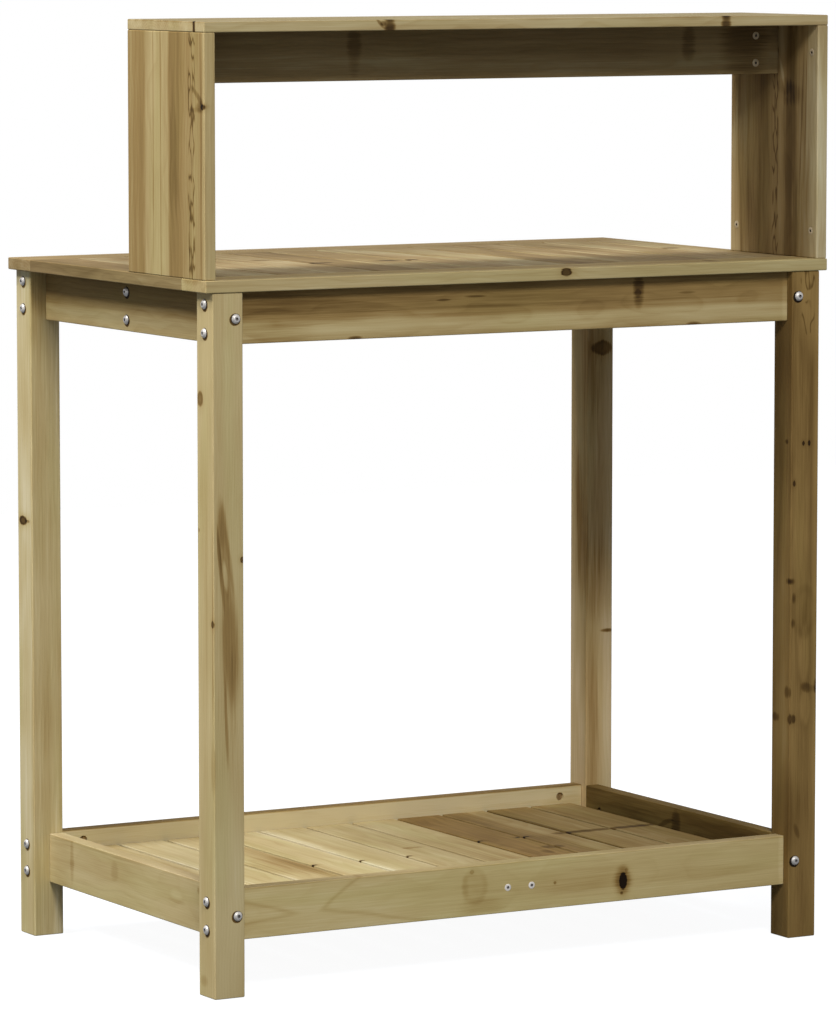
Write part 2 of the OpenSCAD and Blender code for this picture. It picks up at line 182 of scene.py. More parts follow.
class Tree:
    """The nodes of a material, or of a world."""

    def __init__(self, name: str, world: Optional[bpy.types.World] = None) -> None:
        """Starts an empty material of that name, or takes a world."""
        self.material = world or bpy.data.materials.new(name)
        self.material.use_nodes = True
        self.nodes = self.material.node_tree.nodes
        self.nodes.clear()

    def add(self, kind: str, settings: Optional[Dict] = None, inputs: Optional[Dict] = None,
            out: Union[int, str] = 0) -> Wire:
        """Makes a node.

        Args:
            kind: the node's type.
            settings: its properties; "stops" fills a ramp with (place, colour) pairs, "ease" is its curve.
            inputs: values or Wires by socket name or number.
            out: the output that is wanted.
        Returns:
            That output as a Wire.
        """
        node = self.nodes.new(kind)
        for key, value in (settings or {}).items():
            if key == "stops":
                ramp = node.color_ramp.elements
                while len(ramp) < len(value):
                    ramp.new(0.5)
                for stop, (place, colour) in zip(ramp, value):
                    stop.position = place
                for stop, (place, colour) in zip(ramp, value):
                    stop.color = (*(colour if isinstance(colour, tuple) else (colour,) * 3), 1.0)
            elif key == "ease":
                node.color_ramp.interpolation = value
            else:
                setattr(node, key, value)
        for key, value in (inputs or {}).items():
            if isinstance(value, Wire):
                self.material.node_tree.links.new(value.socket, node.inputs[key])
            else:
                node.inputs[key].default_value = value
        return Wire(self, node.outputs[out] if len(node.outputs) else None)

    def vector(self, operation: str, a: Union[Wire, Triple], b: Union[Wire, Triple],
               out: str = "Vector") -> Wire:
        """One Vector Math node on two vectors."""
        return self.add("ShaderNodeVectorMath", {"operation": operation}, {0: a, 1: b}, out)

    def scaled(self, a: Union[Wire, Triple], by: Union[Wire, float]) -> Wire:
        """A vector or colour times a number."""
        return self.add("ShaderNodeVectorMath", {"operation": "SCALE"}, {0: a, "Scale": by}, "Vector")

    def blend(self, a: Union[Wire, Triple], b: Union[Wire, Triple], factor: Union[Wire, float],
              mode: str = "MIX") -> Wire:
        """Mixes two colours.

        Args:
            a: the colour at 0.
            b: the colour at 1.
            factor: how much of b.
            mode: the Mix node's way of mixing.
        Returns:
            The mixed colour.
        """
        a, b = (c if isinstance(c, Wire) else (*c, 1.0) for c in (a, b))
        return self.add("ShaderNodeMix", {"data_type": "RGBA", "blend_type": mode, "clamp_factor": True},
                        {0: factor, 6: a, 7: b}, 2)

    def noise(self, at: Wire, scale: float = 1.0, detail: float = 2.0, out: str = "Fac",
              rough: float = 0.5) -> Wire:
        """A noise texture on those coordinates, 0 to 1 about 0.5."""
        return self.add("ShaderNodeTexNoise", {}, {"Vector": at, "Scale": scale, "Detail": detail,
                                                   "Roughness": rough}, out)

    def drawn(self, at: Wire, fineness: Triple, detail: float = 2.0, out: str = "Fac",
              rough: float = 0.5) -> Wire:
        """A noise that is drawn out along the grain.

        Args:
            at: the coordinates, in millimetres.
            fineness: how fine it is along the grain, across the board and through it.
            detail: how many finer layers it has.
            out: the output that is wanted.
            rough: how strong the finer layers are.
        Returns:
            That output.
        """
        return self.noise(self.vector("MULTIPLY", at, fineness), 1.0, detail, out, rough)

    def surface(self, constants: Dict[str, float], **varied: Wire) -> bpy.types.Material:
        """Closes the material with a Principled shader.

        Args:
            constants: numbers that are set on the shader's own sockets.
            varied: wires by socket name, with an underscore for each space.
        Returns:
            The finished material.
        """
        inputs = {k.replace("_", " "): v for k, v in varied.items()}
        shader = self.add("ShaderNodeBsdfPrincipled", {}, {**constants, **inputs}, "BSDF")
        self.add("ShaderNodeOutputMaterial", {}, {"Surface": shader})
        return self.material


@dataclass(frozen=True)
class Mark:
    """A knot, stain or streak: an ellipsoid in a board, in millimetres from the board's middle.

    at and size are along the grain, across the board and through it; depth is how dark it is (pale where it
    is below 0), bend how far the rings swing round it, ragged how torn its edge is, and tilt how far it leans
    across and through per millimetre along.
    """
    at: Triple
    size: Triple
    depth: float = 0.4
    bend: float = 0.0
    ragged: float = 1.0
    tilt: Tuple[float, float] = (0.0, 0.0)

    def gap(self, tree: Tree, board: Wire) -> Wire:
        """How far a point is from the mark's middle, squared: 1 on the mark's edge.

        Args:
            tree: the board's nodes.
            board: the point, along the grain, across the board and through it.
        Returns:
            The squared distance in half sizes of the mark.
        """
        way = tree.vector("SUBTRACT", board, self.at)
        if any(self.tilt):
            along = tree.vector("DOT_PRODUCT", way, ALONG, "Value")
            way = tree.vector("SUBTRACT", way, tree.scaled((0.0, *self.tilt), along))
        way = tree.vector("MULTIPLY", way, tuple(1.0 / s for s in self.size))
        return tree.vector("DOT_PRODUCT", way, way, "Value")

    def away(self, tree: Tree, board: Wire) -> Wire:
        """The way from the mark's middle to a point, across the board and through it, one long."""
        way = tree.vector("MULTIPLY", tree.vector("SUBTRACT", board, self.at), OFF_GRAIN)
        return tree.vector("NORMALIZE", way, (0.0, 0.0, 0.0))


@dataclass(frozen=True)
class Vee:
    """One ring cut to a point, in millimetres from the board's middle.

    tip and across are where its point lies along and across the board, slope how far it runs along for each
    millimetre that it opens, skew how far its middle leans across per millimetre along, width the line's
    width and depth how dark it is.
    """
    tip: float
    across: float
    slope: float
    skew: float = 0.0
    width: float = 2.2
    depth: float = 0.10


# The colours of impregnated pine, from a dead knot to the palest sapwood.
PINE = ((0.0, (26, 17, 8)), (0.15, (62, 44, 22)), (0.35, (110, 85, 46)), (0.55, (151, 123, 74)),
        (0.72, (180, 157, 107)), (0.86, (198, 179, 131)), (1.0, (216, 202, 163)))

# How dark one growth ring is on its way out, from its pale early wood to its hard late wood.
RING = ((0.0, 0.25), (0.1, 0.0), (0.45, 0.08), (0.8, 0.75), (0.93, 1.0), (1.0, 0.25))

# How fine each kind of unevenness is, per millimetre: along the grain, across the board and through it.
DRIFT = (0.0045, 0.022, 0.022)
STREAK = (0.0022, 0.075, 0.075)
FIBRE = (0.016, 0.75, 0.75)
PATCH = (0.006, 0.020, 0.020)
TEAR = (0.034, 0.15, 0.15)
MOSS = (0.004, 0.03, 0.03)
SWELL = 0.02                            # the same on all three

SEED_STEP = (971.0, 373.0, 177.0)       # how far apart two boards' noise lies for a seed of 1
GREENISH = (0.93, 1.0, 0.88)            # the salts' green where they show
BOLT_SHADE_RING = (6.7, 6.7, 6.7)                  # the painted shade ring round a bolt's head, in millimetres
ARRIS_HIGHLIGHT = (2.6, 1.3)                 # from how far to how near an edge the painted highlight on the arris sets in
UPPER_FACE_REACH = (0.9, 0.3)                  # from how far to how near the upper face the cap sets in


@dataclass
class Grain:
    """What the features of one board's wood share: its nodes, a point's place and the unevenness there."""
    tree: Tree
    board: Wire
    moved: Wire
    along: Wire
    side: Wire
    streak: Wire
    fibre: Wire
    patch: Wire

    def gap(self, mark: Mark) -> Wire:
        """How far a point is from a mark's middle, squared: 1 on the mark's edge."""
        return mark.gap(self.tree, self.board)


@dataclass(frozen=True)
class Timber:
    """The wood of one board: impregnated pine with its growth rings, knots and stains.

    tone is where the board lies between the darkest wood, 0, and the palest, 1. pith is the middle of the
    tree, in millimetres across and through from the board's middle, lean how far it runs off per millimetre
    of length, ring the width of a ring, late how strongly the dark wood shows and wave how far the grain
    wanders. edge is how much paler the long edges are, a painted highlight on the rounded arrises, bands the
    tone at places across the board, which stands in for tone, and bores the middles of the painted shade
    rings round the bolts' heads. streak and mottle are how uneven the colour is, tint is a cast over the
    whole board and cap one over the face that lies upwards. seed sets the board's wood apart from the
    others'.
    """
    tone: float
    pith: Tuple[float, float] = (10.0, -60.0)
    lean: Tuple[float, float] = (0.004, 0.01)
    ring: float = 3.4
    late: float = 0.04
    wave: float = 7.0
    knots: Tuple[Mark, ...] = ()
    stains: Tuple[Mark, ...] = ()
    flecks: Tuple[Mark, ...] = ()
    vees: Tuple[Vee, ...] = ()
    halos: Tuple[Mark, ...] = ()
    edge: float = 0.0
    bands: Stops = ()
    bores: Tuple[Triple, ...] = ()
    streak: float = 0.30
    mottle: float = 0.22
    tint: Triple = WHITE
    cap: Triple = WHITE
    seed: float = 0.0

    def material(self, name: str, low: Vector, high: Vector, grain: int) -> bpy.types.Material:
        """Makes the board's material.

        Args:
            name: the material's name.
            low: the board's lowest corner.
            high: its highest corner.
            grain: the axis that the grain runs along, 0 to 2.
        Returns:
            The material.
        """
        tree = Tree(name)
        size = high - low
        across, through = sorted((i for i in range(3) if i != grain), key=lambda i: (-round(size[i], 4), -i))
        place = tree.add("ShaderNodeTexCoord", out="Object")
        place = tree.scaled(tree.vector("SUBTRACT", place, tuple((low + high) / 2)), MM)
        axes = [tree.add("ShaderNodeSeparateXYZ", {}, {0: place}, i) for i in (grain, across, through)]
        board = tree.add("ShaderNodeCombineXYZ", {}, dict(enumerate(axes)))
        moved = tree.vector("ADD", board, tuple(self.seed * step for step in SEED_STEP))
        grown = self._grown(tree, board, moved)
        along, side, deep = (tree.add("ShaderNodeSeparateXYZ", {}, {0: grown}, i) for i in range(3))
        late = self._late(tree, moved, along, side, deep)
        streak = tree.drawn(moved, STREAK, 3.0, rough=0.6)
        fibre = tree.drawn(moved, FIBRE, rough=0.65)
        patch = tree.drawn(moved, PATCH)
        wood = Grain(tree, board, moved, along, side, streak, fibre, patch)
        level = (streak - 0.5) * self.streak + (fibre - 0.5) * 0.2 + (patch - 0.5) * self.mottle
        level = level - late * (streak + 0.4) * self.late
        level = level + self._ground(wood, size[across] * MM)
        level = self._stained(wood, level)
        level = self._figured(wood, level)
        # paler long edges: a painted highlight along the rounded arrises
        if self.edge:
            far, near = ((size[across] * MM / 2 - reach) ** 2 for reach in ARRIS_HIGHLIGHT)
            level = level + (axes[1] * axes[1]).between(far, near) * self.edge
        level = self._knotted(wood, level)
        colour = tree.add("ShaderNodeValToRGB", {"stops": tuple((at, linear(tone)) for at, tone in PINE)},
                          {0: level})
        green = tree.drawn(moved, MOSS, 1.0).between(0.45, 0.7)
        colour = tree.blend(colour, GREENISH, green * 0.4, "MULTIPLY")
        if self.tint != WHITE:
            colour = tree.vector("MULTIPLY", colour, self.tint)
        # cap: a colour cast over the face that lies upwards
        if self.cap != WHITE:
            height = tree.add("ShaderNodeSeparateXYZ", {}, {0: place}, 2)
            far, near = (size.z * MM / 2 - reach for reach in UPPER_FACE_REACH)
            colour = tree.blend(colour, self.cap, height.between(far, near), "MULTIPLY")
        bump = tree.add("ShaderNodeBump", {}, {"Strength": 0.35, "Distance": 0.0004,
                                               "Height": late * 0.4 + fibre * 0.6})
        return tree.surface({"Specular IOR Level": 0.08}, Base_Color=colour, Roughness=fibre * 0.16 + 0.66,
                            Normal=bump)

    def _grown(self, tree: Tree, board: Wire, moved: Wire) -> Wire:
        """Where a point lay in a straight tree, before the grain wandered and swung round the knots.

        Args:
            tree: the board's nodes.
            board: the point on the board.
            moved: the same point, shifted by the seed.
        Returns:
            The point to read the rings at.
        """
        drift = tree.vector("SUBTRACT", tree.drawn(moved, DRIFT, out="Color"), HALF)
        grown = tree.vector("ADD", board, tree.vector("MULTIPLY", drift, (0.0, 2 * self.wave, 2 * self.wave)))
        for knot in self.knots:
            if knot.bend:
                push = (knot.gap(tree, board) * 0.16).fall() * knot.bend
                grown = tree.vector("ADD", grown, tree.scaled(knot.away(tree, board), push))
        return grown

    def _late(self, tree: Tree, moved: Wire, along: Wire, side: Wire, deep: Wire) -> Wire:
        """How much late wood a point has, from its growth ring.

        Args:
            tree: the board's nodes.
            moved: the point, shifted by the seed.
            along: its place along the grain, as it grew.
            side: its place across the board, as it grew.
            deep: its place through the board, as it grew.
        Returns:
            0 in early wood to 1 in late wood.
        """
        y = side - self.pith[0] + along * self.lean[0]
        z = deep - self.pith[1] + along * self.lean[1]
        turns = (y * y + z * z).root() * (1.0 / self.ring)
        turns = turns + tree.noise(tree.scaled(moved, SWELL), detail=0.0) * 1.6
        return tree.add("ShaderNodeValToRGB", {"stops": RING}, {0: turns.fraction()})

    def _ground(self, wood: Grain, span: float) -> Union[Wire, float]:
        """The board's tone, or its bands of tone from one long edge to the other.

        Args:
            wood: the board's wires.
            span: the board's width, in millimetres.
        Returns:
            The tone before its features.
        """
        if not self.bands:
            return self.tone
        stops = tuple((place / span + 0.5, tone) for place, tone in self.bands)
        return wood.tree.add("ShaderNodeValToRGB", {"stops": stops, "ease": "EASE"},
                             {0: wood.side * (1.0 / span) + 0.5})

    def _stained(self, wood: Grain, level: Wire) -> Wire:
        """Darkens the stains, paints the shade rings round the bolts, and lightens the pale marks.

        Args:
            wood: the board's wires.
            level: the tone so far.
        Returns:
            The tone with them.
        """
        for stain in self.stains:
            gap = wood.gap(stain) + ((wood.streak - 0.5) * 2.4 + (wood.fibre - 0.5) * 1.2) * stain.ragged
            level = level - gap.between(1.6, 0.0) * stain.depth
        # each bore paints a ring of shade just outside a bolt's head, set a little off it
        for bore in self.bores:
            gap = wood.gap(Mark(bore, BOLT_SHADE_RING)) + (wood.fibre - 0.5) * 0.4
            level = level - gap.between(1.2, 0.85) * 0.55
        return level

    def _figured(self, wood: Grain, level: Wire) -> Wire:
        """Draws the pointed rings, the halos and the flecks.

        Args:
            wood: the board's wires.
            level: the tone so far.
        Returns:
            The tone with them.
        """
        for vee in self.vees:
            reach = ((wood.side - vee.across - (wood.along - vee.tip) * vee.skew) ** 2.0 + 2.0).root()
            gap = wood.along - vee.tip - reach * vee.slope
            gap = gap * (1.0 / vee.width / math.hypot(1.0, vee.slope))
            gap = gap + (wood.patch - 0.5) * 5.0 + (wood.streak - 0.5) * 2.0
            level = level - (gap * gap).fall() * vee.depth
        for halo in self.halos:
            gap = wood.gap(halo) + (wood.patch - 0.5) + (wood.streak - 0.5)
            level = level - gap.between(1.9, 1.1) * gap.between(0.3, 1.0) * halo.depth
        for fleck in self.flecks:
            torn = wood.tree.drawn(wood.moved, TEAR, 0.6)
            line = ((torn - 0.5) * 22.0) ** 2.0
            gap = wood.gap(fleck) + (wood.patch - 0.5) * 1.5
            level = level - gap.between(1.1, 0.7) * line.fall() * fleck.depth
        return level

    def _knotted(self, wood: Grain, level: Wire) -> Wire:
        """Draws the knots, each with a dark rim, a paler heart and a soft shade round it.

        Args:
            wood: the board's wires.
            level: the tone so far.
        Returns:
            The tone with them.
        """
        for knot in self.knots:
            gap = wood.gap(knot)
            level = level - (gap * 0.4).fall() * (wood.fibre * 0.2 + 0.12) * knot.depth
            gap = gap + (wood.fibre - 0.5) * 0.9 * knot.ragged + (wood.streak - 0.5) * 1.6 * knot.ragged
            level = level - (gap.between(1.35, 0.6) * 0.8 - gap.between(0.55, 0.05) * 0.18) * knot.depth
        return level


@dataclass(frozen=True)
class Plating:
    """A zinc finish on steel, with its faint grey bloom."""
    tone: Triple
    roughness: float
    bloom: float
    metallic: float = 1.0

    def material(self, name: str) -> bpy.types.Material:
        """Makes the metal.

        Args:
            name: the material's name.
        Returns:
            The material.
        """
        tree = Tree(name)
        place = tree.add("ShaderNodeTexCoord", out="Object")
        cloud = tree.noise(place, 260.0, 3.0)
        grit = tree.noise(place, 1900.0)
        bloomed = tinted(linear(self.tone), (0.62, 0.62, 0.64))
        colour = tree.blend(linear(self.tone), bloomed, cloud.between(0.45, 0.75) * self.bloom)
        bump = tree.add("ShaderNodeBump", {}, {"Strength": 0.12, "Distance": 0.0002, "Height": grit})
        return tree.surface({"Metallic": self.metallic}, Base_Color=colour,
                            Roughness=cloud * 0.2 + self.roughness, Normal=bump)


class Finish(Enum):
    """The finishes of the fasteners, from bright heads to the painted shade inside a socket and round a
    head's rim.
    """
    ZINC = Plating((198, 193, 186), 0.30, 0.4, 0.45)
    DIM = Plating((128, 123, 120), 0.5, 0.4, 0.4)
    DULL = Plating((150, 122, 78), 0.6, 0.5, 0.35)
    YELLOW = Plating((205, 176, 104), 0.3, 0.35)
    CAST = Plating((188, 169, 134), 0.5, 0.5, 0.0)
    PALE = Plating((234, 226, 214), 0.45, 0.4, 0.1)
    SHADE = Plating((62, 54, 44), 0.6, 0.4, 0.2)


class Run(Enum):
    """The way that a board's grain runs."""
    ACROSS = 0
    DEEP = 1
    UP = 2


@dataclass
class Board:
    """One planed board, with its arrises rounded."""
    node: str
    slot: str
    run: Run
    timber: Timber
    arris: float = 0.0013
    segments: int = 3

    def build(self) -> bpy.types.Object:
        """Copies the board's solid with its bores, rounds its arrises and gives it its wood.

        Returns:
            The board.
        """
        low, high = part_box(self.node)
        mesh = bpy.data.meshes.new(f"{self.node}_timber")
        shape = bmesh.new()
        shape.from_mesh(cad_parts[self.node].data)
        bmesh.ops.remove_doubles(shape, verts=shape.verts, dist=MERGE)
        bmesh.ops.dissolve_limit(shape, angle_limit=math.radians(1.0), verts=shape.verts, edges=shape.edges)
        arrises = [e for e in shape.edges if self._on_arris(e, low, high)]
        bmesh.ops.bevel(shape, geom=arrises, offset=self.arris, offset_type="OFFSET", segments=self.segments,
                        profile=0.5, affect="EDGES", material=-1, clamp_overlap=False)
        for face in shape.faces:
            face.smooth = True
        creased(shape, 40.0)
        shape.to_mesh(mesh)
        shape.free()
        mesh.materials.append(self.timber.material(f"wood_{self.node}", low, high, self.run.value))
        board = shown(f"{self.node}_board", mesh)
        keep = board.modifiers.new("flat_faces", "WEIGHTED_NORMAL")
        keep.keep_sharp = True
        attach(board, "root")
        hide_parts(self.node)
        log.info("board %s: %d faces", self.node, len(mesh.polygons))
        return board

    @staticmethod
    def _on_arris(edge: bmesh.types.BMEdge, low: Vector, high: Vector) -> bool:
        """True if an edge lies on two of the board's outer planes."""
        planes = 0
        for axis in range(3):
            for wall in (low[axis], high[axis]):
                planes += all(abs(v.co[axis] - wall) < ON_FACE for v in edge.verts)
        return planes == 2


@dataclass
class Boards:
    """A sub-assembly of boards, each with the way of its grain and its wood. Its slot is handed to each
    board, which doesn't use it.
    """
    slot: str
    woods: Dict[str, Tuple[Run, Timber]]
    arris: float = 0.0013

    def build(self) -> None:
        """Makes each board."""
        for node, (run, wood) in self.woods.items():
            Board(node, self.slot, run, wood, self.arris).build()


# Where the painted shade rings round the bolts' heads lie on a leg's face towards the bench's end, each set a
# little off its head: along, across and through it.
CHEEK_BOLTS = ((381.2, 0.5, 19), (349.2, 0.5, 19), (-288.8, 0.5, 19), (-320.8, 0.5, 19))


@dataclass
class Legs(Boards):
    """The four square legs."""
    slot: str = "leg_timber"
    arris: float = 0.0014
    woods: Dict[str, Tuple[Run, Timber]] = field(default_factory=lambda: {
        "leg_rear_right": (Run.UP, Timber(
            0.78, (30, 46), (0.01, 0.004), 3.6, 0.03, 5, seed=1, streak=0.16, mottle=0.2,
            knots=(
                Mark((27, 16, 19), (4.5, 3, 3), 0.45, 2), Mark((277, -11.6, 19), (9, 7, 4), 0.42, 3),
                Mark((98, 19, -17), (3.5, 4, 2.5), 0.55, 1)),
            stains=(
                Mark((2, 19, -3), (74, 12, 11), 0.25, 0, 0.5, (0, 0.03)),
                Mark((110, 19, 5.4), (50, 10, 7), 0.17, 0, 0.6, (0, 0.09)),
                Mark((138, 19, 7.6), (24, 8, 4.4), 0.1, 0, 0.6),
                Mark((92, 19, 10.4), (42, 7, 2.3), 0.24, 0, 0.5, (0, 0.09)),
                Mark((94, 19, -1.8), (36, 7, 2.6), 0.12, 0, 0.5, (0, 0.13)),
                Mark((80, 19, 4), (16, 7, 2.8), -0.2, 0, 0.6, (0, 0.12)),
                Mark((-84, 19, 3.5), (50, 7, 2.2), 0.2, 0, 0.5, (0, 0.04)),
                Mark((-60, 19, -6), (60, 9, 6), 0.09), Mark((-135, 15.5, 19), (32, 4, 6), 0.12),
                Mark((0, 16.4, 19), (120, 2.2, 6), 0.15), Mark((-378, -7, 19), (7, 9, 5), 0.12),
                Mark((60, 3, 19), (130, 3, 6), 0.05), Mark((130, -15, 19), (2.5, 2, 3), 0.3),
                Mark((0, -16, 19), (420, 4, 8), -0.05), Mark((-275, 19, 0), (125, 8, 24), -0.11)),
            bores=((365.8, 19, -9), (-304.2, 19, -9), *CHEEK_BOLTS))),
        "leg_rear_left": (Run.UP, Timber(
            0.44, (-22, 30), (0.02, 0), 4, 0.015, 9, seed=2, tint=(1, 0.97, 0.9), streak=0.3, mottle=0.42,
            knots=(
                Mark((-134, 19, 15), (6.5, 6, 6), 0.32, 4, 2.2), Mark((193, 19, 2), (3, 4, 1.8), 0.4, 1),
                Mark((193, 19, -6), (3, 4, 1.8), 0.4, 1), Mark((146, 19, 14.5), (4, 4, 2), 0.35, 2)),
            stains=(
                Mark((-98, 19, -9), (6, 8, 10), 0.16, 0, 1.6, (0, 0.6)),
                Mark((-96, 19, -18), (9, 6, 4), 0.2),
                Mark((-268, 19, 8), (9, 6, 3.5), 0.12, 0, 0.4, (0, 0.3)), Mark((30, 19, 17), (4, 6, 5), 0.2),
                Mark((-20, 19, 15), (6, 4, 3), 0.2), Mark((10, 19, 14), (7, 4, 3), 0.2),
                Mark((-120, 19, -4), (18, 8, 9), -0.11, 0, 2), Mark((90, 19, -1), (70, 8, 6), -0.05, 0, 1.6),
                Mark((-58, 19, 0), (28, 8, 9), -0.12, 0, 2.2), Mark((0, 19, -18), (420, 6, 7), -0.13),
                Mark((0, 2, 19), (420, 14, 5), -0.08), Mark((-134, -12, 19), (5, 8, 6), 0.25, 0, 1.4),
                Mark((-102, 13, 19), (7, 7, 6), 0.2, 0, 1.4), Mark((30, 15, 19), (4, 6, 5), 0.2),
                Mark((195, 9, 19), (3, 4, 4), 0.25), Mark((250, 0, 19), (190, 22, 6), 0.09),
                Mark((-345, 19, 0), (85, 8, 24), -0.1), Mark((368, 19, -8), (70, 8, 18), -0.12)),
            halos=(Mark((-6, 19, 0), (26, 9, 15), 0.04),),
            flecks=(Mark((342, 19, -3), (20, 8, 9), 0.22), Mark((386, 19, -2), (13, 8, 10), 0.25)),
            bores=((365.8, 19, 11), (-304.2, 19, 11)))),
        "leg_front_right": (Run.UP, Timber(
            0.9, (40, -26), (0.006, 0.01), 3.8, 0.03, 5, seed=3, streak=0.26, mottle=0.36,
            knots=(Mark((99, -4.7, 19), (5.5, 9.5, 6), 0.8, 5, 0.6), Mark((99, 7, 19), (1.6, 5, 5), 0.38)),
            # both marks are painted shade: the face towards +Y darker as a whole, and darker still at its top
            # under the worktop
            stains=(Mark((0, 19, 0), (500, 5, 30), 0.12), Mark((372, 19, 0), (28, 8, 24), 0.1)),
            bores=CHEEK_BOLTS)),
        "leg_front_left": (Run.UP, Timber(
            0.8, (-24, 36), (0.008, 0.012), 3.6, 0.04, 6, seed=4, tint=(1.07, 0.97, 0.93),
            knots=(Mark((275, 19, -3), (9, 5, 16), 0.4, 4),),
            stains=(
                Mark((66, 2, 19), (80, 6, 8), 0.12), Mark((100, -3, 19), (50, 4, 8), 0.14),
                # on the face towards +Y, the dark mark over the upper part is a painted shadow of the worktop
                # and the pale one low down is painted light
                Mark((-80, 19, -12), (2.4, 6, 10), 0.55, 0, 0.3), Mark((200, 19, 0), (190, 12, 26), 0.11),
                Mark((-160, 19, 0), (130, 9, 26), -0.06), Mark((0, 19, 13), (420, 8, 12), 0.09),
                Mark((0, 19, -14), (420, 8, 10), -0.08), Mark((-190, 19, 11), (120, 8, 9), 0.06),
                Mark((-200, 19, -13), (120, 8, 9), -0.04), Mark((-230, 0, 19), (110, 24, 5), -0.14),
                Mark((24, 11, 19), (70, 13, 5), 0.13), Mark((-20, -17, 19), (190, 9, 5), -0.1),
                Mark((-100, -6, 19), (70, 20, 5), -0.1), Mark((270, 19, 10), (80, 8, 13), 0.06),
                # painted shade along the edge of the worktop's shadow on the face towards +Y
                Mark((-14, 19, 0), (54, 10, 26), 0.13))))})


@dataclass
class Rails(Boards):
    """The aprons under the worktop, the centre beam and the lower rails."""
    slot: str = "rail_timber"
    woods: Dict[str, Tuple[Run, Timber]] = field(default_factory=lambda: {
        "apron_rear": (Run.ACROSS, Timber(
            0.64, (-6, 66), (0.012, 0.004), 4.4, 0.05, 4, seed=5, streak=0.26,
            knots=(Mark((-157.5, 10, 9), (4.5, 5, 7), 0.12, 5, 2.4),),
            stains=(
                Mark((290, 5, 9), (110, 16, 14), 0.05), Mark((-158.5, 13, 9), (7, 19, 7), 0.24, 0, 1),
                Mark((380, 14, 9), (140, 14, 7), 0.08), Mark((102, 11, 9), (9, 1.6, 6), 0.2),
                Mark((60, 14, 9), (14, 1.6, 6), 0.2), Mark((-225, 9, 9), (12, 1.6, 6), 0.16),
                Mark((0, 2, 9), (300, 2, 9), 0.08), Mark((217, -28, 9), (9, 3, 6), 0.4),
                # the pale strip at the end towards -X, by the leg, is painted light thrown back from the leg
                Mark((-234, -28, 9), (9, 3, 6), 0.3), Mark((-362, 0, 9), (5, 60, 9), -0.07, 0, 0.2),
                Mark((322, -20, 9), (56, 12, 9), 0.11)),
            bands=((-29, 0.68), (-20, 0.77), (-10, 0.76), (-3, 0.56), (10, 0.47), (29, 0.46)))),
        "apron_front": (Run.ACROSS, Timber(0.7, (8, -34), (0.01, 0.008), seed=6)),
        "apron_right": (Run.DEEP, Timber(
            0.6, (-30, 60), (0.01, 0.01), 4.6, 0.04, 5, seed=7, streak=0.2,
            bands=((-29, 0.74), (-15, 0.76), (-4, 0.6), (6, 0.5), (29, 0.48)),
            bores=((0.4, 14.6, 9), (0.4, -17.4, 9)))),
        "apron_left": (Run.DEEP, Timber(0.64, (20, 40), (0.02, 0.01), seed=8)),
        "centre_beam": (Run.ACROSS, Timber(0.72, (12, 40), (0.01, 0.01), seed=9)),
        "lower_rail_rear": (Run.ACROSS, Timber(
            0.86, (4, 90), (0.01, 0.004), 5.5, 0.03, 6, seed=10, streak=0.16, mottle=0.2,
            tint=(1.02, 0.985, 0.87), cap=(0.99, 1.03, 1.24),
            knots=(
                Mark((-140.5, -6, 9), (5, 10, 9), 0.74, 6, 0.7), Mark((-47.5, 0, 9), (1.8, 1.8, 4), 0.3, 1),
                Mark((64, 22, 9), (3, 3, 5), 0.16, 1)),
            stains=(
                Mark((0, -1, 9), (140, 18, 14), 0.05, 0, 0.4), Mark((-86, 0, 9), (62, 22, 14), 0.05, 0, 0.4),
                Mark((-140, -7, 9), (13, 18, 9), 0.12, 0, 0.6),
                Mark((-140, -6, 9), (9.5, 16, 9), 0.16, 0, 1), Mark((-138.5, -20, 9), (2.2, 2, 5), 0.3),
                Mark((-145, 6.5, 9), (2.5, 2.5, 5), 0.14), Mark((-250, -6, 9), (90, 7, 9), 0.05),
                Mark((60, 4, 9), (17, 20, 12), 0.05, 0, 0.6), Mark((73, 3, 9), (5, 17, 9), 0.05, 0, 0.8),
                # the pale strip at the end towards -X, by the leg, is painted light thrown back from the leg
                Mark((0, 29, 0), (900, 3, 14), 0.14), Mark((-362, 0, 9), (5, 60, 9), -0.07, 0, 0.2),
                Mark((50, -20, 9), (30, 12, 9), 0.1)),
            vees=(Vee(300, -2, 5, 0.055), Vee(266, -2, -2.6, -0.2)),
            halos=(Mark((60, 5, 9), (14, 18, 12), 0.05),))),
        "lower_rail_front": (Run.ACROSS, Timber(
            1, (-8, 74), (0.008, 0.01), 5.5, 0.03, 5, seed=11, streak=0.16, tint=(1.02, 0.99, 0.92),
            cap=(0.94, 1, 1.12),
            stains=(
                # the dark line along the top edge is painted shade on the far arris, which turns from the
                # light
                Mark((0, 30, 0), (1500, 2.2, 60), 0.55, 0, 0.3), Mark((-345, 0, 9), (34, 40, 8), 0.08)))),
        "lower_rail_right": (Run.DEEP, Timber(
            0.8, (10, 88), (0.01, 0.012), 5.2, 0.03, 6, seed=12, streak=0.16, cap=(0.99, 1.03, 1.24),
            stains=(
                Mark((-150, 4, 9), (5, 26, 8), 0.12, 0, 0.5), Mark((-175, 0, 9), (26, 60, 8), 0.06),
                Mark((171, 18, 9), (3.5, 4, 6), 0.14), Mark((117, 5, 9), (15, 6, 6), -0.07),
                Mark((118, -2, 9), (22, 3, 6), 0.07), Mark((-39, 9, 9), (9, 11, 6), 0.07),
                Mark((0, 29, 0), (400, 6, 12), 0.08)))),
        "lower_rail_left": (Run.DEEP, Timber(
            0.4, (-10, 56), (0.016, 0.006), 4.4, 0.05, 9, seed=13, streak=0.38, mottle=0.4,
            tint=(0.98, 1, 0.88),
            stains=(
                Mark((0, 4, 9), (9, 26, 14), 0.2, 0, 1.2),
                Mark((-24, 8, 9), (14, 3, 14), 0.16, 0, 1.5, (0.3, 0)))))})


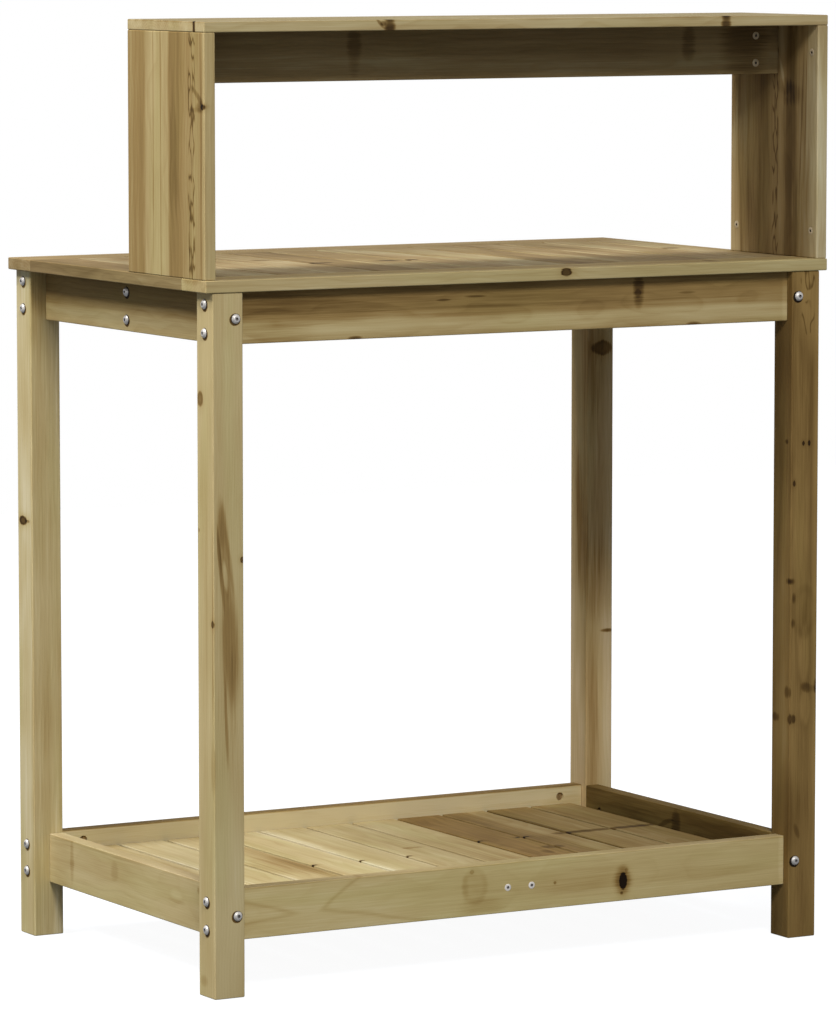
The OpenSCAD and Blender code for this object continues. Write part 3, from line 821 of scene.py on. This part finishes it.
@dataclass
class Deck:
    """A slatted deck: its slats, in order from the left, its border boards and its two battens.

    prefix begins its boards' names, tones are the slats' from the left, seed sets its wood apart, tint and
    mottle are all its slats', borders are the boards along its long edges, and extra is what a slat has of
    its own, by its number.
    """
    prefix: str
    tones: Tuple[float, ...]
    seed: float
    tint: Triple
    mottle: float
    borders: Dict[str, Timber] = field(default_factory=dict)
    extra: Dict[int, Dict] = field(default_factory=dict)

    def build(self) -> None:
        """Makes the slats, the borders and the battens."""
        for i, tone in enumerate(self.tones, 1):
            turn = math.sin(i * 2.4 + self.seed)
            # edge paints a highlight along each slat's long rounded edges
            wood = Timber(tone, (18.0 * turn, -30.0 - 14.0 * math.cos(i * 1.7)), (0.02 * turn, 0.006),
                          4.6 + 0.8 * turn, 0.05, 6.0, seed=self.seed + i * 0.37, edge=0.05,
                          **{"tint": self.tint, "mottle": self.mottle, **self.extra.get(i, {})})
            Board(f"{self.prefix}_slat_{i}", "slat_timber", Run.DEEP, wood, arris=0.0011).build()
        for node, wood in self.borders.items():
            Board(node, "slat_timber", Run.ACROSS, wood).build()
        for k, end in enumerate(("front", "rear")):
            wood = Timber(0.70, (6.0 - 20.0 * k, 30.0), (0.01, 0.01), seed=self.seed + 7.7 + k)
            Board(f"{self.prefix}_batten_{end}", "batten_timber", Run.ACROSS, wood, segments=2).build()


# Half the size of a small knot that a slat's edge has cut through.
SEAM_KNOT = (2.6, 6.0, 9.0)


@dataclass
class Worktop(Deck):
    """The worktop, with a border board along each long edge."""
    prefix: str = "worktop"
    tones: Tuple[float, ...] = (0.58, 0.62, 0.54, 0.55, 0.5, 0.6, 0.6, 0.56, 0.49, 0.6, 0.58, 0.6, 0.46)
    seed: float = 31.0
    tint: Triple = (0.92, 1.0, 1.28)
    mottle: float = 0.42
    borders: Dict[str, Timber] = field(default_factory=lambda: {
        "worktop_border_rear": Timber(
            0.74, (-20, 30), (0.012, 0.004), seed=45, tint=(0.98, 1, 1.05),
            knots=(Mark((-53.5, 29, 2.2), (6.5, 6, 4.6), 0.62, 3, 2.4),),
            # the long dark mark over the top face only is painted shade under the hutch shelf
            stains=(Mark((0, -6, 7), (900, 26, 8), 0.1, 0, 0.3), Mark((-267, 2, 7), (7, 14, 8), 0.2))),
        "worktop_border_front": Timber(0.58, (14, -30), (0.01, 0.006), seed=46, tint=(0.94, 1, 1.24))})
    extra: Dict[int, Dict] = field(default_factory=lambda: {
        1: {"stains": (Mark((-16, 19, 7), (10, 11, 14), 0.36),)},
        7: {"stains": (Mark((29, 25, 7), (8, 9, 14), 0.34),)},
        8: {"stains": (Mark((29, -4, 7), (8, 22, 14), 0.32),)},
        9: {"stains": (Mark((29, 16, 7), (9, 14, 14), 0.32),)},
        10: {"stains": (Mark((-47, -8, 7), (8, 12, 14), 0.24),)},
        11: {"stains": (Mark((190, -22, 7), (9, 8, 14), 0.2),)}})


@dataclass
class Shelf(Deck):
    """The lower shelf, inside the lower rails."""
    prefix: str = "shelf"
    tones: Tuple[float, ...] = (0.56, 0.57, 0.62, 0.47, 0.7, 0.77, 0.86, 0.84, 0.76, 0.81, 0.75)
    seed: float = 61.0
    tint: Triple = (0.98, 1.0, 1.06)
    mottle: float = 0.3
    extra: Dict[int, Dict] = field(default_factory=lambda: {
        1: {"stains": (Mark((-25, 0, 7), (8, 60, 12), 0.32, 0, 0.8),), "tint": (0.98, 1, 1.02)},
        2: {
            "tint": (0.98, 1, 1.02),
            "stains": (Mark((-25, 0, 7), (8, 60, 12), 0.32, 0, 0.8), Mark((0, 30, 7), (300, 4, 12), 0.25))},
        3: {
            "stains": (
                Mark((-25, -30, 7), (8, 20, 12), 0.24, 0, 0.8), Mark((54, 30, 7), (9, 10, 10), 0.18),
                Mark((-70, 0, 7), (50, 32, 12), -0.08)),
            "bands": ((-29, 0.64), (-2, 0.6), (6, 0.5), (29, 0.46)),
            "knots": (Mark((-23, 29, 7), SEAM_KNOT, 0.8),)},
        4: {
            "knots": (Mark((-23, -29, 7), SEAM_KNOT, 0.8), Mark((-23, 29, 7), SEAM_KNOT, 0.8)),
            "tint": (1, 0.98, 0.97),
            "stains": (
                Mark((54, -26, 7), (9, 16, 10), 0.18, 0, 1.4),
                Mark((82, -4, 7), (12, 8, 10), 0.14, 0, 1.4))},
        5: {"stains": (Mark((-140, 0, 7), (90, 34, 12), -0.11),)},
        6: {
            "knots": (Mark((28, 29, 7), SEAM_KNOT, 0.7),),
            "stains": (Mark((-22, -8, 7), (6, 15, 10), 0.15, 0, 1.4),)},
        7: {"knots": (Mark((28, 29, 7), SEAM_KNOT, 0.8),), "bands": ((-29, 0.84), (6, 0.8), (29, 0.9))},
        8: {"knots": (Mark((28, 29, 7), SEAM_KNOT, 0.8),), "bands": ((-29, 0.9), (0, 0.84), (29, 0.74))},
        9: {"bands": ((-29, 0.68), (8, 0.74), (29, 0.8)), "stains": (Mark((20, 0, 7), (70, 32, 12), 0.13),)},
        11: {
            "knots": (Mark((10, -9, 7), (6, 3.5, 9), 0.5),), "bands": ((-29, 0.76), (8, 0.78), (29, 0.92))}})


@dataclass
class Hutch(Boards):
    """The open hutch: two side panels, the stretcher and the shelf."""
    slot: str = "hutch_timber"
    woods: Dict[str, Tuple[Run, Timber]] = field(default_factory=lambda: {
        "hutch_panel_right": (Run.UP, Timber(
            0.62, (-20, -84), (0.006, 0.006), 4.2, 0.04, 4, seed=21, streak=0.22, mottle=0.14,
            tint=(0.98, 1, 1.04),
            knots=(Mark((54.5, 89, 7.5), (3.6, 4.6, 4), 0.46, 3, 1.8),),
            stains=(
                Mark((65, 79, 7), (12, 6, 10), 0.18, 0, 1.2, (-1.2, 0)),
                Mark((54, 82, 7.5), (6, 10, 6), 0.16, 0, 1.4), Mark((51, 70, 7), (3, 14, 10), 0.08),
                Mark((74, 66, 7), (5, 3, 10), 0.2), Mark((24, 86, 7.5), (90, 1.4, 3), 0.15, 0, 0.8),
                Mark((-10, 20, 7.5), (70, 12, 4), 0.09, 0, 1.6), Mark((0, -12, 7), (400, 1.6, 10), 0.14),
                Mark((60, -30, 7), (160, 1.6, 10), 0.14), Mark((0, 84, 7), (200, 2, 10), 0.1)),
            flecks=(Mark((0, 62.5, 7), (2000, 8, 2000), 0.32),),
            bands=(
                (-92, 0.58), (-80, 0.58), (-56, 0.54), (-46, 0.68), (-30, 0.73), (-4, 0.71), (3, 0.68),
                (11, 0.5), (30, 0.5), (44, 0.6), (72, 0.62), (86, 0.62), (92, 0.72)))),
        "hutch_panel_left": (Run.UP, Timber(
            0.58, (30, -80), (0.006, 0.006), 4.4, 0.04, 9, seed=22, streak=0.36, mottle=0.36,
            tint=(1.02, 1.07, 1.27),
            stains=(
                Mark((55, 37, 7), (13, 21, 12), 0.11, 0, 1.8), Mark((64, 24, 7), (9, 16, 12), 0.08, 0, 1.8),
                Mark((30, 71, 7), (60, 1.8, 12), -0.1, 0, 1.2),
                Mark((50, 68, 7), (80, 1.6, 12), 0.15, 0, 1.2, (0.03, 0)),
                Mark((20, 59, 7), (90, 1.6, 12), 0.14, 0, 1.2, (0.05, 0)),
                Mark((78, 18, 7), (18, 3, 12), -0.16, 0, 0.8, (-0.3, 0)),
                Mark((0, 34, 7), (160, 10, 12), 0.06), Mark((76, -84, 7), (62, 14, 12), 0.1),
                Mark((-46, 83, 7), (60, 8, 12), -0.1)),
            flecks=(Mark((0, 3.5, 7), (2000, 7, 2000), 0.26),),
            bands=(
                (-92, 0.68), (-76, 0.64), (-72, 0.5), (-66, 0.62), (-57, 0.61), (-51, 0.47), (-10, 0.45),
                (4, 0.51), (14, 0.56), (23, 0.5), (32, 0.37), (46, 0.37), (54, 0.55), (76, 0.62), (88, 0.64),
                (92, 0.84)))),
        "hutch_stretcher": (Run.ACROSS, Timber(
            0.5, (-16, 24), (0.01, 0.006), 4.6, 0.03, 5, seed=23, tint=(0.9, 0.96, 1.14),
            stains=(
                Mark((176.5, 8, 9), (9, 26, 10), 0.15, 0, 1.3),
                # the dark patch at the end towards -X, in the corner by the panel under the shelf, is painted
                # shade
                Mark((-272.5, 8, 9), (9, 26, 10), 0.15, 0, 1.3), Mark((-350, 0, 9), (32, 40, 10), 0.2)),
            bands=((-29, 0.56), (-6, 0.56), (2, 0.5), (29, 0.47)))),
        "hutch_shelf": (Run.ACROSS, Timber(
            0.74, (-30, -26), (0.01, 0.004), 3.4, 0.06, 5, seed=24, tint=(0.97, 0.995, 1.08),
            cap=(0.8, 0.93, 1.22),
            stains=(
                Mark((177.5, 93, 0), (7, 9, 40), 0.5, 0, 1), Mark((-270.5, 93, 0), (6.5, 9, 40), 0.5, 0, 1),
                Mark((186, 93, 2), (4, 5, 3), 0.35, 0, 1), Mark((412.5, 69, 0), (3, 3, 60), 0.62, 0, 0.3),
                Mark((0, 0, 7.5), (1500, 300, 3.5), 0.17, 0, 0.4), Mark((412.5, 80, 0), (3, 9, 30), -0.05),
                Mark((190, 93, 2), (5, 6, 3), 0.3, 0, 0.4, (0, 0.9)))))})


@dataclass(frozen=True)
class Head:
    """A fastener's head with its socket and shank, in metres.

    outline is (radius, height) from the rim to the socket's mouth, socket the socket's radius, corners how
    many flats it has, depth how deep it is, shank and length the shank's radius and length, steps how many
    facets the head has, and rim the radius beyond which the head takes the painted shade at its foot.
    """
    outline: Tuple[Tuple[float, float], ...]
    socket: float
    corners: int
    depth: float
    shank: float
    length: float
    steps: int = 24
    rim: float = 1.0

    def cut(self, shape: bmesh.types.BMesh, spot: Vector, way: Vector) -> None:
        """Adds one fastener to a mesh.

        Args:
            shape: the mesh that it is added to.
            spot: where its axis meets the timber's face.
            way: the way that it faces.
        """
        part = bmesh.new()
        self._turn(part)
        self._sink(part)
        stem = bmesh.ops.create_cone(part, cap_ends=True, segments=16, radius1=self.shank, radius2=self.shank,
                                     depth=self.length)
        bmesh.ops.translate(part, verts=stem["verts"], vec=(0.0, 0.0, -self.length / 2 - self.depth))
        bmesh.ops.recalc_face_normals(part, faces=part.faces)
        bmesh.ops.rotate(part, verts=part.verts, matrix=way.to_track_quat("Z", "Y").to_matrix())
        bmesh.ops.translate(part, verts=part.verts, vec=spot)
        mesh = bpy.data.meshes.new("part")
        part.to_mesh(mesh)
        part.free()
        shape.from_mesh(mesh)
        bpy.data.meshes.remove(mesh)

    def _turn(self, part: bmesh.types.BMesh) -> None:
        """Spins the outline round into the head, and gives its rim the painted shade.

        Args:
            part: the empty mesh of one fastener.
        """
        points = [part.verts.new((radius, 0.0, height)) for radius, height in self.outline]
        lines = [part.edges.new(pair) for pair in zip(points, points[1:])]
        bmesh.ops.spin(part, geom=points + lines, cent=(0, 0, 0), axis=(0, 0, 1), angle=math.tau,
                       steps=self.steps, use_merge=True)
        bmesh.ops.remove_doubles(part, verts=part.verts, dist=MERGE)
        for face in part.faces:
            # faces beyond rim take the SHADE finish: painted shade round the head's foot
            if face.calc_center_median().xy.length > self.rim:
                face.material_index = 2

    def _sink(self, part: bmesh.types.BMesh) -> None:
        """Closes the head with its socket: walls with flats, and a floor.

        Args:
            part: the mesh that holds the spun head.
        """
        top = self.outline[-1][1]
        mouth = [e for e in part.edges
                 if e.is_boundary and all(abs(v.co.z - top) < MERGE for v in e.verts)]
        inner = self._grow(part, mouth)
        for vert in inner:
            turn = math.atan2(vert.co.y, vert.co.x) % (math.tau / self.corners) - math.pi / self.corners
            reach = self.socket / math.cos(turn)
            vert.co.xy = vert.co.xy.normalized() * reach
        floor = self._grow(part, [e for e in part.edges if e.is_boundary and inner.issuperset(e.verts)])
        bmesh.ops.translate(part, verts=list(floor), vec=(0.0, 0.0, -self.depth))
        walls = {f for v in floor for f in v.link_faces}
        foot = [e for e in part.edges if e.is_boundary and floor.issuperset(e.verts)]
        base = bmesh.ops.contextual_create(part, geom=foot)
        # the socket's walls and floor take the hollow finish, a painted shade
        for face in walls | set(base["faces"]):
            face.material_index = 1

    @staticmethod
    def _grow(part: bmesh.types.BMesh, edges: List[bmesh.types.BMEdge]) -> set:
        """Extrudes edges in place and returns the new vertices."""
        made = bmesh.ops.extrude_edge_only(part, edges=edges)
        return {g for g in made["geom"] if isinstance(g, bmesh.types.BMVert)}


@dataclass
class Hardware:
    """Bolts, nuts, screws, cams and pins, in metres.

    pitch is half of the distance between the two bolts of a pair. The cams lie at cam_rows towards the
    hutch and cam_heights on its panels, and at cam_reach to each side on its stretcher.
    """
    pitch: float = 0.016
    cam_rows: Tuple[float, float] = (0.076, 0.235)
    cam_heights: Tuple[float, float] = (0.838, 1.047)
    cam_reach: float = 0.3665
    button: Head = Head(((0.0060, 0.0), (0.0059, 0.0005), (0.0054, 0.0009), (0.0048, 0.0019),
                         (0.0041, 0.0026), (0.0033, 0.0030), (0.0029, 0.0031)),
                        0.0018, 6, 0.0022, 0.0030, 0.055, rim=0.00555)
    cap: Head = Head(((0.0042, -0.0004), (0.0042, 0.0001), (0.0040, 0.0003), (0.0024, 0.0003)),
                     0.0016, 6, 0.0020, 0.0025, 0.038)
    drum: Head = Head(((0.0045, -0.0006), (0.0045, 0.0), (0.0041, 0.0003), (0.0026, 0.0002)),
                      0.0015, 6, 0.0024, 0.0042, 0.008)
    hidden: Dict[str, Finish] = field(default_factory=lambda: {
        "barrel_nuts": Finish.DULL, "hutch_pins": Finish.ZINC, "worktop_screws": Finish.YELLOW,
        "worktop_batten_screws": Finish.YELLOW, "shelf_screws": Finish.YELLOW,
        "shelf_batten_screws": Finish.YELLOW})
    metals: Dict[Finish, bpy.types.Material] = field(default_factory=dict)

    def build(self) -> None:
        """Makes the heads that show, and gives each other fastener its metal."""
        for finish in Finish:
            self.metals[finish] = finish.value.material(f"{finish.name.lower()}_metal")
        self._bolts()
        self._cams()
        for node, finish in self.hidden.items():
            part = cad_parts[node]
            part.data.materials.clear()
            part.data.materials.append(self.metals[finish])
            log.info("fasteners %s: %s", node, finish.name.lower())

    def _bolts(self) -> None:
        """Makes the bolts of the frame and the beam, and the screws into the lower shelf's centre slat."""
        names = ("leg_rear_right", "lower_rail_rear", "apron_rear", "apron_right")
        leg, rail, apron, side = (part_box(name) for name in names)
        heights = [(low.z + high.z) / 2 for low, high in (rail, apron)]
        cheeks = [(Vector((sx * leg[1].x, sy * (leg[0].y + leg[1].y) / 2, z + dz)), Vector((sx, 0, 0)))
                  for sx in (-1, 1) for sy in (-1, 1) for z in heights for dz in (-self.pitch, self.pitch)]
        faces = [(Vector((sx * (side[0].x + side[1].x) / 2, sy * leg[1].y, z)), Vector((0, sy, 0)))
                 for sx in (-1, 1) for sy in (-1, 1) for z in heights]
        beam = [(Vector((sx * side[1].x, 0.0, heights[1] + dz)), Vector((sx, 0, 0)))
                for sx in (-1, 1) for dz in (-self.pitch, self.pitch)]
        centre = [(Vector((sx * self.pitch, sy * rail[1].y, heights[0])), Vector((0, sy, 0)))
                  for sx in (-1, 1) for sy in (-1, 1)]
        self._set("frame_bolts", self.button, cheeks + faces, Finish.ZINC)
        self._set("beam_bolts", self.button, beam, Finish.ZINC)
        self._set("shelf_centre_screws", self.cap, centre, Finish.PALE)

    def _cams(self) -> None:
        """Makes the cams in the hutch's panels and stretcher."""
        panel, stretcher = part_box("hutch_panel_right"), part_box("hutch_stretcher")
        cams = [(Vector((sx * panel[0].x, y, z)), Vector((-sx, 0, 0)))
                for sx in (-1, 1) for y in self.cam_rows for z in self.cam_heights]
        middle = (stretcher[0].z + stretcher[1].z) / 2
        cams += [(Vector((sx * self.cam_reach, stretcher[1].y, middle + dz)), Vector((0, 1, 0)))
                 for sx in (-1, 1) for dz in (-self.pitch, self.pitch)]
        self._set("hutch_cams", self.drum, cams, Finish.CAST, Finish.SHADE)

    def _set(self, node: str, head: Head, spots: List[Tuple[Vector, Vector]], metal: Finish,
             hollow: Finish = Finish.DIM) -> None:
        """Makes one set of fasteners.

        Args:
            node: the node that it stands for.
            head: the shape of each one.
            spots: where each one is and the way it faces.
            metal: its finish.
            hollow: the finish inside its socket, a painted shade.
        """
        shape = bmesh.new()
        for spot, way in spots:
            head.cut(shape, spot, way)
        for face in shape.faces:
            face.smooth = face.material_index != 1
        creased(shape, 50.0)
        mesh = bpy.data.meshes.new(f"{node}_metal")
        shape.to_mesh(mesh)
        shape.free()
        # slot 1 is the painted shade inside the socket, slot 2 the painted shade on the heads' rims
        for finish in (metal, hollow, Finish.SHADE):
            mesh.materials.append(self.metals[finish])
        made = shown(f"{node}_heads", mesh)
        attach(made, "root")
        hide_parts(node)
        log.info("fasteners %s: %d of them", node, len(spots))


@dataclass(frozen=True)
class Lamp:
    """A square soft lamp that faces the bench.

    way is the way from the bench to it, far its distance, size its side, level what a white card facing it
    would show of full white, and aim the point that it faces.
    """
    name: str
    way: Triple
    far: float
    size: float
    level: float
    aim: Triple = (0.0, 0.0, 0.5)

    def build(self) -> None:
        """Hangs the lamp."""
        data = bpy.data.lights.new(self.name, "AREA")
        data.size = self.size
        data.energy = self.level * (math.pi * self.far) ** 2
        lamp = shown(self.name, data)
        lamp.location = Vector(self.way).normalized() * self.far + Vector(self.aim)
        lamp.rotation_euler = Vector(self.way).to_track_quat("Z", "Y").to_euler()


@dataclass
class Studio:
    """The sky, the lamps, the floor and the camera. Angles are in degrees, the lens in millimetres."""
    lamps: Tuple[Lamp, ...] = (
        Lamp("side", (0.70, 0.0, 0.72), 6.5, 1.3, 0.56),
        Lamp("high", (0.50, -0.04, 0.87), 6.5, 1.0, 0.38),
        Lamp("key", (0.26, 0.72, 0.64), 6.5, 1.5, 0.60),
        Lamp("top", (0.18, -0.18, 0.97), 5.0, 1.2, 0.10),
        Lamp("front", (0.40, 0.84, 0.37), 6.0, 3.0, 0.08))
    eye: Triple = (3.304, 5.746, 1.210)
    heading: float = 150.09
    dip: float = 6.05
    lens: float = 198.95
    sensor: float = 36.0
    sight: float = 200.0
    sky: float = 0.10
    cool: Triple = (0.84, 1.0, 1.36)
    floor_half: float = 4.5
    floor_drop: float = 0.0008
    floor_tone: Triple = (0.20, 0.22, 0.25)
    floor_glow: float = 0.95

    def build(self) -> None:
        """Makes the world, lamps, floor and camera."""
        self._world()
        for lamp in self.lamps:
            lamp.build()
        self._floor()
        self._camera()

    def _world(self) -> None:
        """A plain even sky that looks white straight on and in metal."""
        world = bpy.data.worlds.new("plain")
        bpy.context.scene.world = world
        tree = Tree("plain", world)
        seen = tree.add("ShaderNodeLightPath", out="Is Camera Ray")
        for ray in ("Is Glossy Ray", "Is Transmission Ray"):
            seen = seen.either(tree.add("ShaderNodeLightPath", out=ray))
        colour = tree.blend(tuple(c * self.sky for c in self.cool), WHITE, seen)
        light = tree.add("ShaderNodeBackground", {}, {"Color": colour}, "Background")
        tree.add("ShaderNodeOutputWorld", {}, {"Surface": light})

    def _floor(self) -> None:
        """A pale floor that stays white in the light and keeps a soft shadow."""
        shape = bmesh.new()
        bmesh.ops.create_grid(shape, x_segments=2, y_segments=2, size=self.floor_half)
        bmesh.ops.translate(shape, verts=shape.verts, vec=(0.0, 0.0, -self.floor_drop))
        mesh = bpy.data.meshes.new("floor")
        shape.to_mesh(mesh)
        shape.free()
        floor = shown("floor", mesh)
        tree = Tree("floor")
        seen = tree.add("ShaderNodeLightPath", out="Is Camera Ray")
        card = tree.add("ShaderNodeBsdfDiffuse", {}, {"Color": (*self.floor_tone, 1.0)}, "BSDF")
        glow = tree.add("ShaderNodeEmission", {}, {"Color": (*WHITE, 1.0), "Strength": self.floor_glow},
                        "Emission")
        both = tree.add("ShaderNodeAddShader", {}, {0: card, 1: glow})
        mixed = tree.add("ShaderNodeMixShader", {}, {0: seen, 1: card, 2: both})
        tree.add("ShaderNodeOutputMaterial", {}, {"Surface": mixed})
        mesh.materials.append(tree.material)

    def _camera(self) -> None:
        """The camera, level from side to side and tipped a little down."""
        data = bpy.data.cameras.new("camera")
        data.sensor_width = self.sensor
        data.lens = self.lens
        data.clip_end = self.sight
        camera = shown("camera", data)
        camera.location = self.eye
        camera.rotation_euler = (math.radians(90.0 - self.dip), 0.0, math.radians(self.heading))
        bpy.context.scene.camera = camera


def main() -> None:
    """Builds the bench piece by piece, then the studio."""
    logging.basicConfig(level=logging.INFO, format="%(name)s: %(message)s", stream=sys.stdout)
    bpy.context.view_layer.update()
    bpy.context.scene.view_settings.view_transform = "Standard"
    Legs().build()
    Rails().build()
    Worktop().build()
    Shelf().build()
    Hutch().build()
    Hardware().build()
    Studio().build()


if __name__ == "__main__":
    main()
